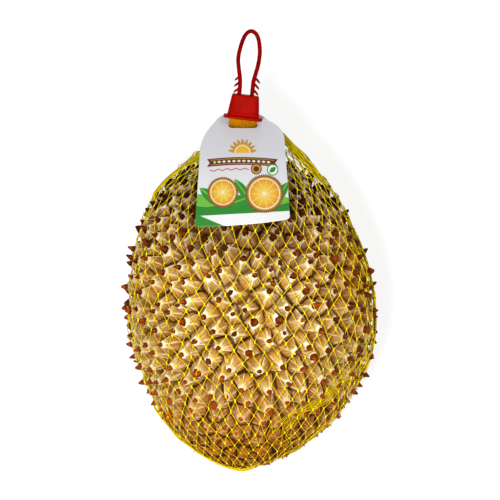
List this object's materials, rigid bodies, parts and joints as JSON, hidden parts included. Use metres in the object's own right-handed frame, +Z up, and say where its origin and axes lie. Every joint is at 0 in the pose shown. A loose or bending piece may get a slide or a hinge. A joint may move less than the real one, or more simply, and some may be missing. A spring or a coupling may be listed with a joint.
{
  "type": "durian in net bag",
  "caption": "Whole spiny durian lying in a drawn-tight diamond net bag, gathered through a slotted card tag into a plastic ferrule with a barbed hanging loop.",
  "frame": {"origin": "middle of the outline seen from above, at the level of the surface that the fruit lies on", "axes": "+Y along the fruit from the blossom end to the stalk end and on to the hanging loop, +X to the right of the card when it is read, +Z up through the side that carries the card"},
  "size_m": [0.2056, 0.3508, 0.195],
  "materials": {
    "husk": "raw fibrous rind, pale spines with rust-brown tips over olive-brown valleys",
    "stalk": "raw corky stalk",
    "net": "extruded plastic net",
    "card": null,
    "ferrule": "moulded, satin gloss",
    "loop": "moulded, gloss"
  },
  "bodies": {
    "root": {"durian_husk": "husk", "fruit_stalk": "stalk", "net_bag": "net", "label_card": "card", "clip_ferrule": "ferrule", "clip_loop": "loop"}
  },
  "joints": []
}
